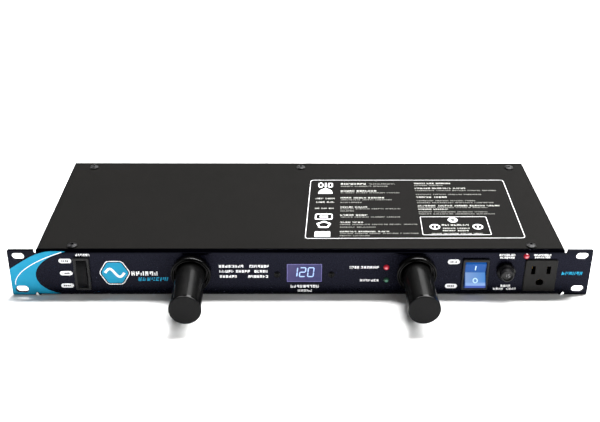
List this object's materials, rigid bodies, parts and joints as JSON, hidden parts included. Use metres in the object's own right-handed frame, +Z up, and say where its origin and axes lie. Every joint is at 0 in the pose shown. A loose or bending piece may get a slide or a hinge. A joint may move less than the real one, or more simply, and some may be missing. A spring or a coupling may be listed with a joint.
{
  "type": "rack power strip",
  "caption": "One-unit rack power conditioner with pull-out swivelling lamps, dimmer and power rockers, voltmeter, breaker, and grounded outlets front and rear.",
  "frame": {"origin": "centre of the four rack slots, on the back face of the front panel", "axes": "+X right as seen from the front, +Y back into the rack, +Z up; the front panel faces -Y"},
  "size_m": [0.4826, 0.229, 0.0454],
  "materials": {
    "panel_paint": "satin black paint on steel with white and cyan silk-screen print",
    "chassis_paint": "black powder coat on folded steel sheet",
    "cover_powder_coat": "fine-textured black powder coat on folded steel sheet with a white printed label",
    "black_screws": "black oxide socket screws",
    "display_acrylic": "tinted acrylic window lit from behind",
    "digit_block": "light grey LED digit block",
    "circuit_board": "green solder mask on glass-fibre board",
    "led_red": "red tinted epoxy, lit",
    "led_green": "green tinted epoxy, unlit",
    "switch_nylon": "black moulded nylon, fine texture",
    "rocker_black": "black moulded nylon, satin",
    "rocker_blue": "translucent blue polycarbonate, lit from inside",
    "breaker_phenolic": "black phenolic moulding",
    "breaker_button": "dark grey moulded button with a worn rim",
    "outlet_nylon": "dark brown-grey moulded nylon",
    "rear_block_nylon": "black moulded nylon",
    "brass_contacts": "stamped brass spring contacts and bus bars",
    "gland_nylon": "black moulded nylon bushing",
    "zinc_steel": "yellow zinc plated steel",
    "terminal_nylon": "natural moulded nylon",
    "copper_winding": "enamelled copper winding on a ferrite ring",
    "capacitor_film": "yellow box film capacitors",
    "varistor_blue": "blue epoxy coated varistor discs",
    "potted_supply": "potted lamp supply in a black case",
    "wire_black": "black wire insulation",
    "wire_white": "white wire insulation",
    "wire_green": "green wire insulation",
    "lamp_bezel_metal": "satin black anodised turned bezel",
    "guide_nylon": "dark grey moulded nylon",
    "slider_acetal": "natural acetal",
    "lamp_tube_paint": "satin black painted aluminium tube",
    "lamp_cap_matte": "matte black moulded cap",
    "lens_clear": "clear diffusing lens",
    "lamp_led_board": "white solder mask board with warm white LEDs"
  },
  "bodies": {
    "chassis": {"front_panel": "panel_paint", "chassis_base": "chassis_paint", "rear_panel": "chassis_paint", "top_cover": "cover_powder_coat", "cover_screws": "black_screws", "base_screws": "black_screws", "display_window": "display_acrylic", "voltmeter_digits": "digit_block", "voltmeter_board": "circuit_board", "display_screws": "black_screws", "led_protected": "led_red", "led_grounded": "led_green", "led_outlet": "led_red", "indicator_board": "circuit_board", "lamp_left_bezel": "lamp_bezel_metal", "lamp_left_guide": "guide_nylon", "lamp_right_bezel": "lamp_bezel_metal", "lamp_right_guide": "guide_nylon", "dimmer_housing": "switch_nylon", "dimmer_terminals": "brass_contacts", "power_switch_housing": "switch_nylon", "power_switch_terminals": "brass_contacts", "breaker_body": "breaker_phenolic", "breaker_nut": "breaker_phenolic", "breaker_terminals": "brass_contacts", "front_outlet": "outlet_nylon", "front_outlet_contacts": "brass_contacts", "rear_block_left": "rear_block_nylon", "rear_block_right": "rear_block_nylon", "rear_contacts_left": "brass_contacts", "rear_contacts_right": "brass_contacts", "cord_gland": "gland_nylon", "earth_stud": "zinc_steel", "terminal_block": "terminal_nylon", "filter_board": "circuit_board", "filter_choke": "copper_winding", "filter_capacitors": "capacitor_film", "varistors": "varistor_blue", "board_supports": "terminal_nylon", "lamp_supply": "potted_supply", "live_wires": "wire_black", "neutral_wires": "wire_white", "earth_wire": "wire_green"},
    "lamp_left_carriage": {"lamp_left_slider": "slider_acetal"},
    "lamp_left": {"lamp_left_tube": "lamp_tube_paint", "lamp_left_cap": "lamp_cap_matte", "lamp_left_lens": "lens_clear", "lamp_left_board": "lamp_led_board", "lamp_left_pivot": "guide_nylon", "lamp_left_clip": "zinc_steel"},
    "lamp_right_carriage": {"lamp_right_slider": "slider_acetal"},
    "lamp_right": {"lamp_right_tube": "lamp_tube_paint", "lamp_right_cap": "lamp_cap_matte", "lamp_right_lens": "lens_clear", "lamp_right_board": "lamp_led_board", "lamp_right_pivot": "guide_nylon", "lamp_right_clip": "zinc_steel"},
    "dimmer": {"dimmer_rocker": "rocker_black"},
    "power": {"power_rocker": "rocker_blue"},
    "breaker": {"breaker_button": "breaker_button"}
  },
  "joints": [
    {"name": "lamp_left_slide", "type": "slide", "parent": "chassis", "child": "lamp_left_carriage", "axis": [0, 1, 0], "range_m": [0, 0.048]},
    {"name": "lamp_left_swivel", "type": "hinge", "parent": "lamp_left_carriage", "child": "lamp_left", "pos_m": [-0.0912, 0.035, 0], "axis": [0, 1, 0], "range_deg": [-90, 90]},
    {"name": "lamp_right_slide", "type": "slide", "parent": "chassis", "child": "lamp_right_carriage", "axis": [0, 1, 0], "range_m": [0, 0.048]},
    {"name": "lamp_right_swivel", "type": "hinge", "parent": "lamp_right_carriage", "child": "lamp_right", "pos_m": [0.096, 0.035, 0], "axis": [0, 1, 0], "range_deg": [-90, 90]},
    {"name": "dimmer_rock", "type": "hinge", "parent": "chassis", "child": "dimmer", "pos_m": [-0.1811, -0.0006, -0.0005], "axis": [1, 0, 0], "range_deg": [-9, 9]},
    {"name": "power_rock", "type": "hinge", "parent": "chassis", "child": "power", "pos_m": [0.1449, -0.00085, -0.0012], "axis": [1, 0, 0], "range_deg": [0, 24]},
    {"name": "breaker_trip", "type": "slide", "parent": "chassis", "child": "breaker", "axis": [0, -1, 0], "range_m": [0, 0.003]}
  ]
}
